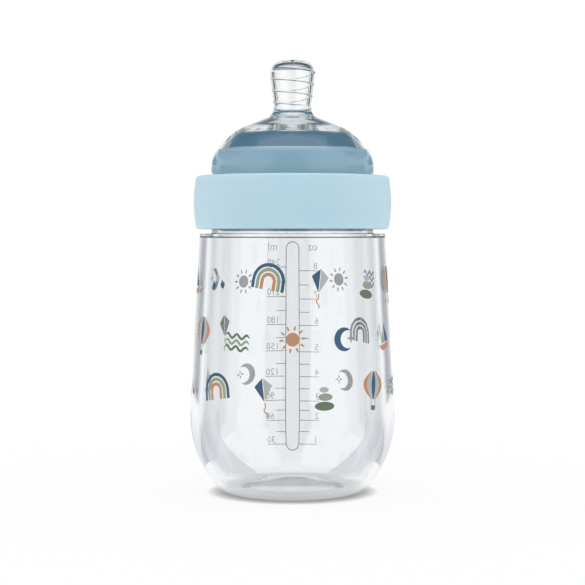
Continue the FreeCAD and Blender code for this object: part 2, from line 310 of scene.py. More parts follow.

# %% [markdown]
# ## Moulded polypropylene
# Collar and insert are polypropylene, coloured in the mass. The collar's mould is spark-eroded, which
# leaves an even satin grain of about a quarter of a millimetre. The insert has a smoother face in a light
# blue. Its crown has a deeper blue, which is painted shade, and the thin edge between the tiers a pale blue,
# which is a painted highlight. Colour varies by a few percent over some millimetres, as pigment never mixes
# perfectly, and light goes a few millimetres into the plastic.

# %% Plastic materials
def moulded_plastic(name, colour, shade, grain_mm, roughness, depth_mm):
    """Satin polypropylene: two close tones of one pigment, fine grain, soft gloss."""
    made, tree, shader = fresh_material(name)
    place = add_node(tree, "ShaderNodeTexCoord")
    cloud = add_node(tree, "ShaderNodeTexNoise",
                     {"Vector": place.outputs["Object"], "Scale": 1 / (9 * MM), "Detail": 3.0})
    tone = add_node(tree, "ShaderNodeMix",
                    {"Factor": cloud.outputs["Fac"], 6: linear(colour), 7: linear(shade)}, data_type="RGBA")
    grain = add_node(tree, "ShaderNodeTexNoise",
                     {"Vector": place.outputs["Object"], "Scale": 1 / (grain_mm * MM), "Detail": 2.0})
    gloss = add_node(tree, "ShaderNodeMapRange",
                     {"Value": grain.outputs["Fac"], "To Min": roughness - 0.06, "To Max": roughness + 0.06})
    relief = add_node(tree, "ShaderNodeBump",
                      {"Height": grain.outputs["Fac"], "Strength": 0.4, "Distance": depth_mm * MM})
    fill(tree, shader, {
        "Base Color": tone.outputs[2], "Roughness": gloss, "Normal": relief, "IOR": 1.49,
        "Subsurface Weight": 1.0, "Subsurface Radius": (1.0, 1.0, 1.0), "Subsurface Scale": 2.5 * MM})
    return made


SATIN = {"grain_mm": 0.25, "roughness": 0.45, "depth_mm": 0.02}
SMOOTH = {"grain_mm": 0.5, "roughness": 0.32, "depth_mm": 0.01}
collar_plastic = moulded_plastic("polypropylene_satin_light_blue", "#c0dbe7", "#bbd7e4", **SATIN)
insert_plastic = moulded_plastic("polypropylene_smooth_light_blue", "#b4d8ee", "#afd4eb", **SMOOTH)
# The insert's blue, darkened for the crown as painted shade and paled for the crown's foot as a painted
# highlight.
crown_painted_shade = moulded_plastic("polypropylene_smooth_mid_blue", "#719fba", "#6c9ab5", **SMOOTH)
foot_painted_highlight = moulded_plastic("polypropylene_smooth_pale_blue", "#c9e6f7", "#c4e2f4", **SMOOTH)
for plastic in (collar_plastic, insert_plastic, crown_painted_shade, foot_painted_highlight):
    print("made", plastic.name)

# %% [markdown]
# ## Turning an outline
# All four pieces are round, so each is an outline turned about the bottle's axis, as clay on a wheel. A
# Screw modifier could turn it too, but own code can also mark the rings that later carry a thread. The
# outline is a list of corners (radius, height, rounding) in millimetres, the way a drawing gives it. A
# fourth number asks for close rings on the run that leaves the corner, and those rings are marked "ridge".

# %% Rounded outlines
ARC_TURN = 7
ARC_STEP = 0.8


def turned_by(v, angle):
    """Flat vector turned anticlockwise by an angle."""
    cosine, sine = math.cos(angle), math.sin(angle)
    return Vector((v.x * cosine - v.y * sine, v.x * sine + v.y * cosine))


def fill_close_runs(points):
    """Replace each marked run by close points that carry a ridge."""
    filled = []
    for i, point in enumerate(points):
        if len(point) == 3:
            filled.append(point)
            continue
        after = points[(i + 1) % len(points)]
        steps = math.ceil(math.dist(point[:2], after[:2]) / point[3])
        for k in range(1, steps):
            filled.append((point[0] + (after[0] - point[0]) * k / steps,
                           point[1] + (after[1] - point[1]) * k / steps, 1.0))
    return filled


def rounded_outline(corners):
    """Points (radius, height, ridge) of an outline with rounded corners, in millimetres."""
    spots = [Vector((c[0], c[1])) for c in corners]
    count = len(corners)
    points = []
    for here, corner in enumerate(corners):
        rounding = corner[2]
        close_before = corners[here - 1][3] if len(corners[here - 1]) > 3 else 0
        if rounding:
            arriving = (spots[here] - spots[here - 1]).normalized()
            leaving = (spots[(here + 1) % count] - spots[here]).normalized()
            turn = arriving.angle(leaving)
            reach = rounding * math.tan(turn / 2)
            middle = spots[here] + (leaving - arriving).normalized() * (rounding / math.cos(turn / 2))
            begin = spots[here] - arriving * reach - middle
            sweep = arriving.angle_signed(leaving)
            steps = max(math.ceil(math.degrees(turn) / ARC_TURN),
                        math.ceil(rounding * turn / (close_before or ARC_STEP)))
            arc = [middle + turned_by(begin, -sweep * i / steps) for i in range(steps + 1)]
        else:
            arc = [spots[here]]
        points += [(p.x, p.y, 1.0 if close_before else 0.0) for p in arc]
        if len(corner) > 3:
            points.append((points[-1][0], points[-1][1], None, corner[3]))
    return fill_close_runs(points)


trial = rounded_outline([(1, 0, 0), (3, 0, 0.5), (3, 2, 0.5), (1, 2, 0)])
print("four corners, two of them rounded, make", len(trial), "points")

# %% Turned meshes
SHARP_DEGREES = 38


def turned_piece(name, corners, material, closed=True, segments=256):
    """Mesh object turned about the bottle's axis from its corners."""
    shape = bmesh.new()
    ridge = shape.verts.layers.float.new("ridge")
    rings = []
    for radius, height, mark in rounded_outline(corners):
        spots = 1 if radius < 1e-6 else segments
        ring = []
        for i in range(spots):
            angle = 2 * math.pi * i / segments
            east, north = radius * MM * math.cos(angle), radius * MM * math.sin(angle)
            vert = shape.verts.new((east, north, height * MM))
            vert[ridge] = mark
            ring.append(vert)
        rings.append(ring)
    for below, above in zip(rings, rings[1:] + (rings[:1] if closed else [])):
        for i in range(segments):
            j = (i + 1) % segments
            corners_of_face = [below[i % len(below)], below[j % len(below)],
                               above[j % len(above)], above[i % len(above)]]
            shape.faces.new(dict.fromkeys(corners_of_face))
    bmesh.ops.recalc_face_normals(shape, faces=shape.faces)
    mesh = bpy.data.meshes.new(name)
    shape.to_mesh(mesh)
    shape.free()
    mesh.shade_smooth()
    mesh.set_sharp_from_angle(angle=math.radians(SHARP_DEGREES))
    mesh.materials.append(material)
    return new_object(name, mesh)


print("edges over", SHARP_DEGREES, "degrees stay sharp")

# %% [markdown]
# ## A spiral ridge
# The neck's thread, the collar's thread and the fine rib on the nipple follow one rule: a ridge climbs by a
# fixed lead in each turn. A curve with a bevel would lie on the surface as a second body, and in clear
# glass its buried half would show. So a Geometry Nodes tree lifts the marked rings of the piece itself: for
# each point it works out how far along the axis the nearest turn of the ridge is, and moves the point along
# its normal.

# %% Spiral ridge tree
def new_geometry_tree(name, sockets):
    """Geometry tree with named inputs (name, kind, default) and one geometry output."""
    made = bpy.data.node_groups.new(name, "GeometryNodeTree")
    made.interface.new_socket("Geometry", in_out="INPUT", socket_type="NodeSocketGeometry")
    for label, kind, value in sockets:
        socket = made.interface.new_socket(label, in_out="INPUT", socket_type="NodeSocket" + kind)
        if value is not None:
            socket.default_value = value
    made.interface.new_socket("Geometry", in_out="OUTPUT", socket_type="NodeSocketGeometry")
    return made, made.nodes.new("NodeGroupInput").outputs, made.nodes.new("NodeGroupOutput")


tree, given, result = new_geometry_tree("spiral_ridge", [
    ("Lead", "Float", 6 * MM), ("Hand", "Float", 1.0), ("Start height", "Float", 0.0),
    ("Start turn", "Float", 0.0), ("Turns", "Float", 1.5), ("Run out", "Float", 0.1),
    ("Half crest", "Float", 0.6 * MM), ("Half foot", "Float", 1.4 * MM), ("Height", "Float", 2 * MM),
    ("Material", "Material", None)])
spot = add_node(tree, "ShaderNodeSeparateXYZ", {0: add_node(tree, "GeometryNodeInputPosition")})
angle = add_node(tree, "ShaderNodeMath", {0: spot.outputs["Y"], 1: spot.outputs["X"]}, operation="ARCTAN2")
handed = add_node(tree, "ShaderNodeMath", {0: angle, 1: given["Hand"]}, operation="MULTIPLY")
turn = add_node(tree, "ShaderNodeMath", {0: handed, 1: 2 * math.pi}, operation="DIVIDE")
phase = add_node(tree, "ShaderNodeMath", {0: turn, 1: given["Start turn"]}, operation="SUBTRACT")
climb = add_node(tree, "ShaderNodeMath", {0: spot.outputs["Z"], 1: given["Start height"]},
                 operation="SUBTRACT")
level = add_node(tree, "ShaderNodeMath", {0: climb, 1: given["Lead"]}, operation="DIVIDE")
behind = add_node(tree, "ShaderNodeMath", {0: level, 1: phase}, operation="SUBTRACT")
lap = add_node(tree, "ShaderNodeMath", {0: behind}, operation="ROUND")
miss = add_node(tree, "ShaderNodeMath", {0: behind, 1: lap}, operation="SUBTRACT")
apart = add_node(tree, "ShaderNodeMath", {0: miss}, operation="ABSOLUTE")
away = add_node(tree, "ShaderNodeMath", {0: apart, 1: given["Lead"]}, operation="MULTIPLY")
along = add_node(tree, "ShaderNodeMath", {0: lap, 1: phase}, operation="ADD")
left = add_node(tree, "ShaderNodeMath", {0: given["Turns"], 1: along}, operation="SUBTRACT")
flank = add_node(tree, "ShaderNodeMapRange",
                 {"Value": away, "From Min": given["Half crest"], "From Max": given["Half foot"],
                  "To Min": 1.0, "To Max": 0.0}, interpolation_type="SMOOTHSTEP")
rise = add_node(tree, "ShaderNodeMapRange", {"Value": along, "From Max": given["Run out"]},
                interpolation_type="SMOOTHSTEP")
fall = add_node(tree, "ShaderNodeMapRange", {"Value": left, "From Max": given["Run out"]},
                interpolation_type="SMOOTHSTEP")
marked = add_node(tree, "GeometryNodeInputNamedAttribute", {"Name": "ridge"}, data_type="FLOAT")
ends = add_node(tree, "ShaderNodeMath", {0: rise, 1: fall}, operation="MULTIPLY")
form = add_node(tree, "ShaderNodeMath", {0: ends, 1: flank}, operation="MULTIPLY")
held = add_node(tree, "ShaderNodeMath", {0: form, 1: marked.outputs["Attribute"]}, operation="MULTIPLY")
size = add_node(tree, "ShaderNodeMath", {0: held, 1: given["Height"]}, operation="MULTIPLY")
outward = add_node(tree, "GeometryNodeInputNormal")
lift = add_node(tree, "ShaderNodeVectorMath", {0: outward, "Scale": size}, operation="SCALE")
moved = add_node(tree, "GeometryNodeSetPosition", {"Geometry": given["Geometry"], "Offset": lift})
whole = add_node(tree, "GeometryNodeRealizeInstances", {0: moved})
dressed = add_node(tree, "GeometryNodeSetMaterial", {"Geometry": whole, "Material": given["Material"]})
fill(tree, result, {0: dressed})
ridge_tree = tree


def run_tree(piece, tree, values):
    """Run a geometry tree on a piece with named input values, and keep the result as its plain mesh."""
    modifier = piece.modifiers.new(tree.name, "NODES")
    modifier.node_group = tree
    for item in tree.interface.items_tree:
        if item.in_out == "INPUT" and item.name in values:
            modifier[item.identifier] = values[item.name]
    evaluated = piece.evaluated_get(bpy.context.evaluated_depsgraph_get())
    mesh = bpy.data.meshes.new_from_object(evaluated)
    piece.modifiers.remove(modifier)
    old = piece.data
    piece.data = mesh
    mesh.name = piece.name
    bpy.data.meshes.remove(old)


print(ridge_tree.name, "has", len(ridge_tree.nodes), "nodes")

# %% [markdown]
# ## Glass body
# The body is one pressed and blown vessel: a recessed base on a ring, a wide round heel, a wall that leans
# in, a flat shoulder and a neck with a thread of six millimetres lead. The outline runs up the outside and
# down the inside, so the wall has its real thickness, which is what makes the bright edges of the glass.

# %% Glass body
THREAD = {"Lead": 6 * MM, "Run out": 0.07, "Half crest": 0.5 * MM, "Half foot": 1.3 * MM, "Height": 2.0 * MM}
bottle_glass = turned_piece("bottle_glass", [
    (0, 0.5, 0), (15, 0.5, 1.5), (18, 0, 1.0), (25.9, 0, 8.5), (36.26, 17.5, 36), (32.4, 90.3, 0.2),
    (28.3, 90.3, 0.5, 0.3), (28.3, 105.2, 0.6), (26.1, 105.2, 0.6), (26.1, 88.9, 0.2), (30.07, 88.9, 0.2),
    (33.8, 18.4, 33.6), (24.2, 2.0, 6), (0, 2.0, 0)], glass, closed=False)
run_tree(bottle_glass, ridge_tree, {
    **THREAD, "Start height": 94.4 * MM, "Start turn": 0.1, "Turns": 1.45, "Material": glass})
print("glass body:", len(bottle_glass.data.polygons), "faces")

# %% [markdown]
# ## Screw collar
# The collar is a moulded ring with a slightly barrel-shaped skirt. Its flange reaches in over the teat's
# flange and clamps it. Inside, a thread of the same lead sits just below the neck's ridge, where it pulls
# when it is tight.

# %% Screw collar
screw_collar = turned_piece("screw_collar", [
    (31.5, 91.9, 0.6), (33.55, 91.9, 0.9), (35, 101.1, 45.53), (33.55, 110.3, 0.9), (27.5, 110.3, 0.4),
    (27.5, 108.2, 0.4), (31.5, 108.2, 0.3, 0.3)], collar_plastic)
run_tree(screw_collar, ridge_tree, {
    **THREAD, "Start height": 93.9 * MM, "Start turn": 0.317, "Turns": 1.4, "Material": collar_plastic})
print("collar:", len(screw_collar.data.polygons), "faces")

# %% [markdown]
# ## Vent insert
# The blue that shines through the teat is a stepped ring of its own. Its flange lies on the rim, a spigot
# reaches into the neck, and two tiers rise into the teat. The upper one, the crown, has its blue darkened
# as painted shade, and the edge at its foot is painted pale as a highlight, a thin bright line. A ring of
# faces for each blue is enough for that.

# %% Vent insert
CROWN_EDGE, CROWN_WALL = 118.2 * MM, 119.1 * MM
vent_ring = turned_piece("vent_ring", [
    (24.4, 102.2, 0), (25.8, 102.2, 0.3), (25.8, 105.2, 0), (27.8, 105.2, 0), (27.8, 106.4, 0.3),
    (25.6, 106.4, 0), (25.0, 118.4, 0.8), (23.85, 118.4, 0), (23.325, 119.1, 0), (19.8, 123.8, 7.5),
    (17.3, 124.7, 0), (16.1, 124.7, 0.3), (18.84, 122.6, 0), (23.25, 117.2, 0), (24.4, 114.2, 0)],
    insert_plastic)
vent_ring.data.materials.append(crown_painted_shade)
# The pale blue at the crown's foot is a painted highlight.
vent_ring.data.materials.append(foot_painted_highlight)
# Faces on the crown wall get the painted shade, and the thin ring below them the painted highlight.
for face in vent_ring.data.polygons:
    if face.center.z > CROWN_EDGE:
        face.material_index = 1 if face.center.z > CROWN_WALL else 2
print("vent ring:", len(vent_ring.data.polygons), "faces")

# %% [markdown]
# ## Teat
# The teat is one soft moulding: a flange, a groove that snaps into the collar, a dome and a flared nipple
# with a fine left-hand rib. Soft silicone wets the insert's lower tier where it is stretched over it, so no
# air is left between them and the dome looks blue right out to its edge, as a straw looks wider in a glass
# of water. At the upper tier a thin gap of air stays, and the blue is seen at its own width.

# %% Teat
silicone_teat = turned_piece("silicone_teat", [
    (29.2, 106.4, 0.3), (29.2, 108.2, 0.3), (27.2, 108.2, 0), (27.2, 110.6, 0.3),
    (28.4, 111.5, 0.6), (28.4, 116.6, 11), (21.4, 125.9, 21.5), (6.2, 131.65, 4, 0.1), (8.2, 150.45, 4.2),
    (0.45, 150.45, 0.2), (0.45, 149.05, 0), (6.75, 149.05, 2.75), (4.75, 129.75, 2), (20.05, 124.05, 7.75),
    (24.25, 118.34, 0), (24.9, 118.34, 0.75), (25.54, 106.4, 0)], silicone)
run_tree(silicone_teat, ridge_tree, {
    "Lead": 4.1 * MM, "Hand": -1.0, "Start height": 134.0 * MM, "Start turn": 0.0, "Turns": 3.4,
    "Run out": 0.12, "Half crest": 0.08 * MM, "Half foot": 0.32 * MM, "Height": 0.22 * MM,
    "Material": silicone})
print("teat:", len(silicone_teat.data.polygons), "faces")

# %% [markdown]
# ## Printing ink
# Scale and pattern are screen-printed on the outside of the glass and fired. The ink lies on as a matt
# film, one or two hundredths of a millimetre thick. Each colour is one screen. From inside the bottle one
# sees the back of the film, which is a pale grey undercoat. The screen's mesh is finer than a pixel here,
# so its unevenness is drawn at half a millimetre.

# %% Ink materials
def screen_ink(name, colour, shade):
    """Matt fired ink in two close tones, with the uneven face of a screen print."""
    made, tree, shader = fresh_material(name)
    place = add_node(tree, "ShaderNodeTexCoord")
    mesh_marks = add_node(tree, "ShaderNodeTexNoise",
                          {"Vector": place.outputs["Object"], "Scale": 1 / (0.5 * MM), "Detail": 2.0})
    tone = add_node(tree, "ShaderNodeMix",
                    {"Factor": mesh_marks.outputs["Fac"], 6: linear(colour), 7: linear(shade)},
                    data_type="RGBA")
    matt = add_node(tree, "ShaderNodeMapRange",
                    {"Value": mesh_marks.outputs["Fac"], "To Min": 0.5, "To Max": 0.7})
    relief = add_node(tree, "ShaderNodeBump",
                      {"Height": mesh_marks.outputs["Fac"], "Strength": 0.3, "Distance": 0.01 * MM})
    fill(tree, shader, {"Base Color": tone.outputs[2], "Roughness": matt, "Normal": relief})
    return made


motif_inks = [
    screen_ink("fired_ink_navy", "#2f5674", "#355c79"), screen_ink("fired_ink_sage", "#8c9a86", "#929f8b"),
    screen_ink("fired_ink_fern", "#5f6f5e", "#657564"), screen_ink("fired_ink_clay", "#b8845f", "#bd8a66"),
    screen_ink("fired_ink_stone", "#a9adb0", "#afb3b6")]
scale_grey = screen_ink("fired_ink_scale_grey", "#8f9498", "#959a9e")
scale_back = screen_ink("fired_ink_scale_undercoat", "#e6e8ea", "#ebedef")
undercoat = screen_ink("fired_ink_undercoat", "#f6f7f8", "#f9fafb")
for ink in motif_inks + [scale_grey, scale_back, undercoat]:
    print("mixed", ink.name)

# %% [markdown]
# ## Wrapping a flat print onto the glass
# A printer draws flat and the screen rolls round the bottle. The same is done here: a print is drawn in the
# XY plane, X along the wall and Y up, and a Geometry Nodes tree lays it on. Each point looks at the glass
# from outside, along its own angle, and goes where it hits. A Shrinkwrap modifier could do it too, but it
# pulls points sideways on the heel. The film gets an outer and an inner face. It stays clear of the glass
# by a hundredth of a millimetre, so that no two faces lie in each other and light from inside reaches its
# back.

# %% Print wrapping tree
WATCH_FROM, WATCH_LENGTH = 0.06, 0.1
INWARD = -0.01
tree, given, result = new_geometry_tree("wrap_print", [
    ("Glass", "Object", None), ("Radius", "Float", 35 * MM), ("Start angle", "Float", math.pi / 2),
    ("Film", "Float", 0.015 * MM), ("Gap", "Float", 0.01 * MM), ("Back", "Material", None)])
spot = add_node(tree, "ShaderNodeSeparateXYZ", {0: add_node(tree, "GeometryNodeInputPosition")})
arc = add_node(tree, "ShaderNodeMath", {0: spot.outputs["X"], 1: given["Radius"]}, operation="DIVIDE")
angle = add_node(tree, "ShaderNodeMath", {0: arc, 1: given["Start angle"]}, operation="ADD")
east = add_node(tree, "ShaderNodeMath", {0: angle}, operation="COSINE")
north = add_node(tree, "ShaderNodeMath", {0: angle}, operation="SINE")
outward = add_node(tree, "ShaderNodeCombineXYZ", {"X": east, "Y": north})
away = add_node(tree, "ShaderNodeVectorMath", {0: outward, "Scale": WATCH_FROM}, operation="SCALE")
height = add_node(tree, "ShaderNodeCombineXYZ", {"Z": spot.outputs["Y"]})
watch = add_node(tree, "ShaderNodeVectorMath", {0: away, 1: height}, operation="ADD")
look = add_node(tree, "ShaderNodeVectorMath", {0: outward, "Scale": -1.0}, operation="SCALE")
glass_shape = add_node(tree, "GeometryNodeObjectInfo", {"Object": given["Glass"]})
hit = add_node(tree, "GeometryNodeRaycast",
               {"Target Geometry": glass_shape.outputs["Geometry"], "Source Position": watch,
                "Ray Direction": look, "Ray Length": WATCH_LENGTH})
clear_of = add_node(tree, "ShaderNodeVectorMath", {0: hit.outputs["Hit Normal"], "Scale": given["Gap"]},
                    operation="SCALE")
laid = add_node(tree, "GeometryNodeSetPosition",
                {"Geometry": given["Geometry"], "Position": hit.outputs["Hit Position"], "Offset": clear_of})
raised = add_node(tree, "GeometryNodeExtrudeMesh",
                  {"Mesh": laid, "Offset Scale": given["Film"], "Individual": False}, mode="FACES")
back = add_node(tree, "GeometryNodeFlipFaces", {"Mesh": laid})
film = add_node(tree, "GeometryNodeJoinGeometry")
for side in (raised, back):
    fill(tree, film, {0: side})
sealed = add_node(tree, "GeometryNodeMergeByDistance", {"Geometry": film, "Distance": 0.001 * MM})
whole = add_node(tree, "GeometryNodeRealizeInstances", {0: sealed})
flat_spot = add_node(tree, "ShaderNodeVectorMath",
                     {0: add_node(tree, "GeometryNodeInputPosition"), 1: (1.0, 1.0, 0.0)},
                     operation="MULTIPLY")
facing = add_node(tree, "ShaderNodeVectorMath", {0: add_node(tree, "GeometryNodeInputNormal"), 1: flat_spot},
                  operation="DOT_PRODUCT")
inner = add_node(tree, "ShaderNodeMath", {0: facing.outputs["Value"], 1: INWARD}, operation="LESS_THAN")
dressed = add_node(tree, "GeometryNodeSetMaterial",
                   {"Geometry": whole, "Selection": inner, "Material": given["Back"]})
fill(tree, result, {0: dressed})
wrap_tree = tree
print(wrap_tree.name, "has", len(wrap_tree.nodes), "nodes")

# %% [markdown]
# ## Flat shapes
# All flat shapes are patches between a left and a right edge, drawn from bottom to top in millimetres, like
# the slats of a blind. Small cells let them bend with the glass. A curve could be filled instead, but its
# long thin triangles would cut through the round wall.

# %% Flat shape tools
def flat_patch(shape, edges, ink, columns=3):
    """Fill between pairs of left and right points, in millimetres, with one ink number."""
    rows = []
    for left_end, right_end in edges:
        left_end, right_end = Vector(left_end), Vector(right_end)
        spots = [left_end.lerp(right_end, i / columns) for i in range(columns + 1)]
        rows.append([shape.verts.new((p.x * MM, p.y * MM, 0)) for p in spots])
    for low, high in zip(rows, rows[1:]):
        for i in range(columns):
            face = shape.faces.new((low[i], low[i + 1], high[i + 1], high[i]))
            face.material_index = ink


def flat_line(shape, line, widths, ink):
    """Ribbon along a line of points, with a width for each of them."""
    edges = []
    for i, point in enumerate(line):
        ahead = Vector(line[min(i + 1, len(line) - 1)]) - Vector(line[max(i - 1, 0)])
        side = Vector((-ahead.y, ahead.x)).normalized() * widths[i] / 2
        edges.append((Vector(point) + side, Vector(point) - side))
    flat_patch(shape, edges, ink, columns=1)


def flat_oval(shape, centre, across, tall, ink, rows=10):
    """Ellipse in rows."""
    edges = []
    for i in range(rows + 1):
        t = -math.pi / 2 + math.pi * i / rows
        level = centre[1] + tall * math.sin(t)
        edges.append(((centre[0] - across * math.cos(t), level), (centre[0] + across * math.cos(t), level)))
    flat_patch(shape, edges, ink, columns=4)


def arc_points(radius, start, end, steps, centre=(0, 0)):
    """Points on a circle from one angle to another, in degrees."""
    turns = [math.radians(start + (end - start) * i / steps) for i in range(steps + 1)]
    return [(centre[0] + radius * math.cos(t), centre[1] + radius * math.sin(t)) for t in turns]


def flat_object(shape, name, inks):
    """Object of a flat drawing, with its faces up."""
    shape.normal_update()
    bmesh.ops.reverse_faces(shape, faces=[f for f in shape.faces if f.normal.z < 0])
    mesh = bpy.data.meshes.new(name)
    shape.to_mesh(mesh)
    shape.free()
    for ink in inks:
        mesh.materials.append(ink)
    return bpy.data.objects.new(name, mesh)


def drawn(name, draw, inks):
    """Flat object from a drawing function."""
    shape = bmesh.new()
    draw(shape)
    bmesh.ops.remove_doubles(shape, verts=shape.verts, dist=1e-6)
    bmesh.ops.dissolve_degenerate(shape, edges=shape.edges, dist=1e-6)
    return flat_object(shape, name, inks)


print("a half circle in 12 steps has", len(arc_points(1, 0, 180, 12)), "points")

# %% [markdown]
# ## Scale
# The scale is a long capsule with marks to both sides, millilitres on one and ounces on the other. It is
# printed on the far side of the bottle and read from there, so the camera sees it mirrored through the
# glass. Marks repeat, so a second tree sets one bar on each mark's point and stretches it to the mark's
# length.

# %% Scale marks tree
HALF_CAPSULE = 2.62
tree, given, result = new_geometry_tree("scale_marks", [
    ("Half capsule", "Float", HALF_CAPSULE * MM), ("Line", "Float", 0.24 * MM),
    ("Material", "Material", None)])
reach = add_node(tree, "GeometryNodeInputNamedAttribute", {"Name": "reach"}, data_type="FLOAT")
side = add_node(tree, "GeometryNodeInputNamedAttribute", {"Name": "side"}, data_type="FLOAT")
half = add_node(tree, "ShaderNodeMath", {0: reach.outputs["Attribute"], 1: 0.5}, operation="MULTIPLY")
middle = add_node(tree, "ShaderNodeMath", {0: half, 1: given["Half capsule"]}, operation="ADD")
across = add_node(tree, "ShaderNodeMath", {0: middle, 1: side.outputs["Attribute"]}, operation="MULTIPLY")
shift = add_node(tree, "ShaderNodeCombineXYZ", {"X": across})
set_out = add_node(tree, "GeometryNodeSetPosition", {"Geometry": given["Geometry"], "Offset": shift})
bar = add_node(tree, "GeometryNodeMeshGrid",
               {"Size X": 1.0, "Size Y": given["Line"], "Vertices X": 8, "Vertices Y": 2})
stretch = add_node(tree, "ShaderNodeCombineXYZ", {"X": reach.outputs["Attribute"], "Y": 1.0, "Z": 1.0})
bars = add_node(tree, "GeometryNodeInstanceOnPoints",
                {"Points": set_out, "Instance": bar.outputs["Mesh"], "Scale": stretch})
whole = add_node(tree, "GeometryNodeRealizeInstances", {0: bars})
dressed = add_node(tree, "GeometryNodeSetMaterial", {"Geometry": whole, "Material": given["Material"]})
fill(tree, result, {0: dressed})
marks_tree = tree
print(marks_tree.name, "has", len(marks_tree.nodes), "nodes")

# %% [markdown]
# ## Marks at their heights
# A straight wall would have even marks, but this one leans in, so the marks move apart towards the top.
# Long marks carry a number, and a short one stands halfway between two of them. Each mark is one point,
# with its length and its side as attributes that the tree reads.

# %% Scale marks
ml_heights = {30: 11.6, 60: 20.9, 90: 28.5, 120: 37.5, 150: 47.0, 180: 56.8, 210: 67.2, 240: 78.1}
oz_heights = {1: 11.6, 2: 20.9, 3: 28.2, 4: 37.3, 5: 46.6, 6: 56.4, 7: 66.2, 8: 76.7}
LONG_MARK, SHORT_MARK = 7.8 * MM, 3.9 * MM
marks = []
for heights, side in ((ml_heights, 1.0), (oz_heights, -1.0)):
    levels = list(heights.values())
    marks += [(level, LONG_MARK, side) for level in levels]
    marks += [((low + high) / 2, SHORT_MARK, side) for low, high in zip(levels, levels[1:])]
mark_mesh = bpy.data.meshes.new("scale_marks")
mark_mesh.from_pydata([(0, level * MM, 0) for level, _, _ in marks], [], [])
for name, column in (("reach", 1), ("side", 2)):
    store = mark_mesh.attributes.new(name, "FLOAT", "POINT")
    store.data.foreach_set("value", [mark[column] for mark in marks])
scale_marks = new_object("scale_marks", mark_mesh)
run_tree(scale_marks, marks_tree, {"Material": scale_grey})
print("scale marks:", len(marks))

# %% [markdown]
# ## Capsule and numerals
# The capsule is a thin line round the empty middle of the scale. The numerals stand on their marks, flush
# with the marks' outer ends. Blender's own plain font is right for a scale: the text is turned to mesh and
# made a little thinner, because the print has fine strokes.

# %% Capsule
CAPSULE_LOW, CAPSULE_HIGH, CAPSULE_LINE = 9.3, 87.4, 0.3


def draw_capsule(shape):
    """Stadium line round the middle of the scale."""
    top, bottom = CAPSULE_HIGH - HALF_CAPSULE, CAPSULE_LOW + HALF_CAPSULE
    straight = CAPSULE_HIGH - CAPSULE_LOW - 2 * HALF_CAPSULE
    line = arc_points(HALF_CAPSULE, 0, 180, 12, (0, top))
    line += [(-HALF_CAPSULE, top - straight * i / 60) for i in range(1, 60)]
    line += arc_points(HALF_CAPSULE, 180, 360, 12, (0, bottom))
    line += [(HALF_CAPSULE, bottom + straight * i / 60) for i in range(1, 60)]
    line.append(line[0])
    flat_line(shape, line, [CAPSULE_LINE] * len(line), 0)


scale_capsule = drawn("scale_capsule", draw_capsule, [scale_grey])
scene.collection.objects.link(scale_capsule)
print("capsule:", len(scale_capsule.data.polygons), "flat faces")

# %% Numerals
FIGURE_EDGE, FIGURE_LIFT, FIGURE_TALL, UNIT_LEVEL = 10.4, 0.55, 2.4, 84.2
SCALE_RADIUS = 34.6 * MM


def numeral(text, across, level, tall, align):
    """Text as a flat mesh whose lower left or right corner is at a place, in millimetres."""
    letters = bpy.data.curves.new("numeral", "FONT")
    letters.body = text
    letters.align_x = align
    letters.resolution_u = 3
    letters.offset = -0.012
    holder = new_object("numeral", letters)
    mesh = bpy.data.meshes.new_from_object(holder.evaluated_get(bpy.context.evaluated_depsgraph_get()))
    bpy.data.objects.remove(holder)
    height = max(v.co.y for v in mesh.vertices)
    mesh.transform(Matrix.Translation((across * MM, level * MM, 0)) @ Matrix.Scale(tall * MM / height, 4))
    return mesh


figures = []
for heights, edge, align in ((ml_heights, FIGURE_EDGE, "RIGHT"), (oz_heights, -FIGURE_EDGE, "LEFT")):
    for amount, level in heights.items():
        figures.append(numeral(str(amount), edge, level + FIGURE_LIFT, FIGURE_TALL, align))
figures.append(numeral("ml", FIGURE_EDGE, UNIT_LEVEL, 2.9, "RIGHT"))
figures.append(numeral("oz", -FIGURE_EDGE, UNIT_LEVEL, 1.9, "LEFT"))
joined = bmesh.new()
for figure in figures:
    joined.from_mesh(figure)
    bpy.data.meshes.remove(figure)
bmesh.ops.remove_doubles(joined, verts=joined.verts, dist=1e-6)
scale_numerals = flat_object(joined, "scale_numerals", [scale_grey])
scene.collection.objects.link(scale_numerals)
for piece in (scale_marks, scale_capsule, scale_numerals):
    run_tree(piece, wrap_tree, {"Glass": bottle_glass, "Radius": SCALE_RADIUS, "Back": scale_back})
    print(piece.name, len(piece.data.polygons), "faces")

# %% [markdown]
# ## Motifs
# A small pattern of play-time things goes round the bottle in five inks: an arch, a sun, a moon with a
# star, waves, a kite, a pile of pebbles, rain drops, a sailing boat and a balloon. Each is drawn once,
# flat, in millimetres about its own middle, and then repeated.

# %% Arch, sun and moon
NAVY, SAGE, FERN, CLAY, STONE = range(5)


def draw_arch(shape):
    """Three arches inside each other, on short straight legs."""
    for radius, ink in ((5.4, NAVY), (3.8, SAGE), (2.2, CLAY)):
        line = [(radius, -3), (radius, -1.5)] + arc_points(radius, 0, 180, 16)
        line += [(-radius, -1.5), (-radius, -3)]
        flat_line(shape, line, [1.15] * len(line), ink)


def draw_sun(shape):
    """Disc with ten rays that narrow outwards."""
    flat_oval(shape, (0, 0), 2.3, 2.3, CLAY)
    for i in range(10):
        t = 2 * math.pi * i / 10
        line = [(r * math.cos(t), r * math.sin(t)) for r in (3.1, 3.8, 4.6)]
        flat_line(shape, line, [0.75, 0.65, 0.3], CLAY)


